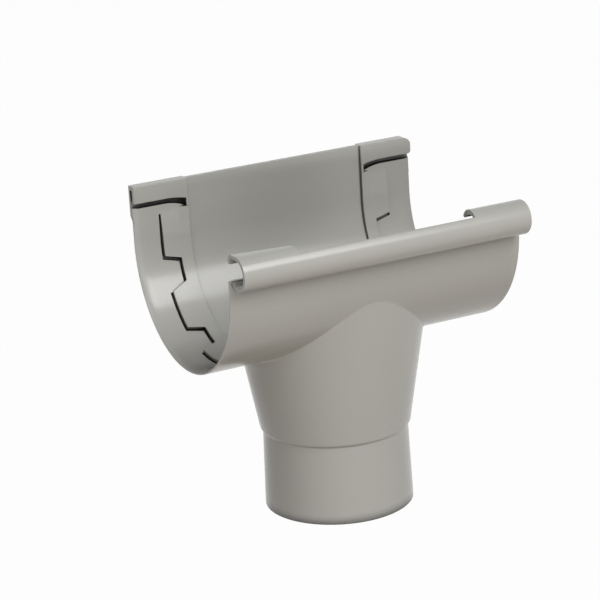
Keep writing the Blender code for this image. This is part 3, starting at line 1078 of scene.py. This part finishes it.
# %% Grooves of the stops
GROOVE_STARTS = {-1: 0.0022, 1: 0.0110}
GROOVE_WIDTHS = {-1: 0.0010, 1: 0.0005}
LEDGE_GROOVE_WIDTH = 0.0020
GROOVE_DEPTH = 0.0012
GROOVE_BITE = 0.0003
STRETCH_POINTS = 4


def offset_line(line, offsets):
    """The line with each stretch moved sideways, away from the stop, by its own offset."""
    ways = [(Vector(after) - Vector(here)).normalized() for here, after in zip(line, line[1:])]
    normals = [Vector((-way.y, way.x)) for way in ways]
    moved = [Vector(line[0]) + normals[0] * offsets[0]]
    for i, point in enumerate(line[1:-1]):
        way, normal, across = ways[i], normals[i], normals[i + 1]
        slide = (offsets[i + 1] - offsets[i] * normal.dot(across)) / way.dot(across)
        moved.append(Vector(point) + normal * offsets[i] + way * slide)
    return moved + [Vector(line[-1]) + normals[-1] * offsets[-1]]


def groove_lines(side):
    """The stretches of the stop's edge that have a groove: all but the sloping returns."""
    edge = [(place, width) for place, width, rise in stop_outline()]
    edge[:2] = [(edge[0][0] + GROOVE_STARTS[side], STOP_WIDTH)]
    leg = GROOVE_WIDTHS[side]
    for i in range(NOTCH_COUNT):
        ledge = LEDGE_GROOVE_WIDTH if i == 0 else leg
        first = i * STRETCH_POINTS
        yield edge[first:first + STRETCH_POINTS], (leg, ledge, leg)


def stop_groove(side, line, widths):
    """What is cut from the wall along one stretch of the stop's edge."""
    top, bottom = INNER_RADIUS - CLEAR / 2, INNER_RADIUS + GROOVE_DEPTH
    near_line = offset_line(line, [-GROOVE_BITE] * len(widths))
    far_line = offset_line(line, widths)
    both = [tuple(near) + tuple(far) for near, far in zip(near_line, far_line)]
    rings = []
    for near_place, near, far_place, far in fine_line(both):
        corners = ((near_place, near, top), (far_place, far, top))
        corners += ((far_place, far, bottom), (near_place, near, bottom))
        rings.append([
            at_x([stop_point(place, radius)], side * (HOOK_START + width))[0]
            for place, width, radius in corners
        ])
    piece = skin("stop_groove", rings)
    edit(piece)
    return leave(piece)


for side in (-1, 1):
    for line, widths in groove_lines(side):
        combine(outlet, stop_groove(side, line, widths), "DIFFERENCE")
    combine(outlet, stop_band(side, stop_outline()), "UNION")
    combine(outlet, stop_band(side, stop_web(), near_rise=STOP_RISE), "UNION")

# %% [markdown]
# ## Finishing the shape
#
# The top corner of the back wall at the right end is rounded, and so is the lower corner of the
# lip there. Each cutter is the square corner outside the round. Then nearly doubled points are
# merged, and the shading is smoothed wherever two faces meet at a small angle, which leaves the
# real edges crisp. Weighted normals let the large faces decide the shading beside the narrow
# rounded edges, so that flat walls look flat.

# %% Rounded corner and smooth shading
CORNER_STEPS = 12
LIP_CORNER_RADIUS = 0.0025
SMOOTH_ANGLE = math.radians(28)


def corner_cutter():
    """What is cut from the top corner of the back wall at the right end."""
    x, z = HALF_LENGTH - CORNER_RADIUS, BACK_WALL_RISE - CORNER_RADIUS
    section = arc((x, z), CORNER_RADIUS, 0, math.pi / 2, CORNER_STEPS)
    section[0] = (HALF_LENGTH + CLEAR, z)
    section[-1] = (x, BACK_WALL_RISE + CLEAR)
    section.append((HALF_LENGTH + CLEAR, BACK_WALL_RISE + CLEAR))
    rings = [
        [(px, AXIS_Y + y, TROUGH_Z + pz) for px, pz in section]
        for y in (LIP_FRONT - CLEAR, BULGE_BACK + CLEAR)
    ]
    piece = skin("corner_cutter", rings)
    edit(piece)
    return leave(piece)


def lip_corner_cutter():
    """What is cut from the lower corner of the lip at the right end."""
    x, z = HALF_LENGTH - LIP_CORNER_RADIUS, BACK_WALL_RISE - LIP_DROP + LIP_CORNER_RADIUS
    section = arc((x, z), LIP_CORNER_RADIUS, -math.pi / 2, 0, CORNER_STEPS)
    section += [(HALF_LENGTH + CLEAR, z), (HALF_LENGTH + CLEAR, z - LIP_CORNER_RADIUS - CLEAR)]
    section.append((x, z - LIP_CORNER_RADIUS - CLEAR))
    rings = [
        [(px, AXIS_Y + y, TROUGH_Z + pz) for px, pz in section]
        for y in (LIP_FRONT - CLEAR, SLOT_FRONT + BITE / 2)
    ]
    piece = skin("lip_corner_cutter", rings)
    edit(piece)
    return leave(piece)


combine(outlet, corner_cutter(), "DIFFERENCE")
combine(outlet, lip_corner_cutter(), "DIFFERENCE")
edit(outlet)
bpy.ops.mesh.select_all(action="SELECT")
bpy.ops.mesh.remove_doubles(threshold=2 * MERGE_DISTANCE)
leave(outlet)
hold(outlet)
bpy.ops.object.shade_smooth_by_angle(angle=SMOOTH_ANGLE)
even = outlet.modifiers.new("even_shading", "WEIGHTED_NORMAL")
even.keep_sharp = True
bpy.ops.object.modifier_apply(modifier=even.name)
outlet.name = "outlet"
outlet.data.materials.clear()
outlet.data.materials.append(plastic)
print("outlet:", len(outlet.data.polygons), "faces,", [round(v, 4) for v in outlet.dimensions])

# %% [markdown]
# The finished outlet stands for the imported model's one solid and rides on its one body.

# %% Take the solid's place
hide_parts("gutter_outlet")
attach(outlet, "root")

# %% [markdown]
# The standard view shows the colours as they were set.

# %% Finish
scene = bpy.context.scene
scene.view_settings.view_transform = "Standard"
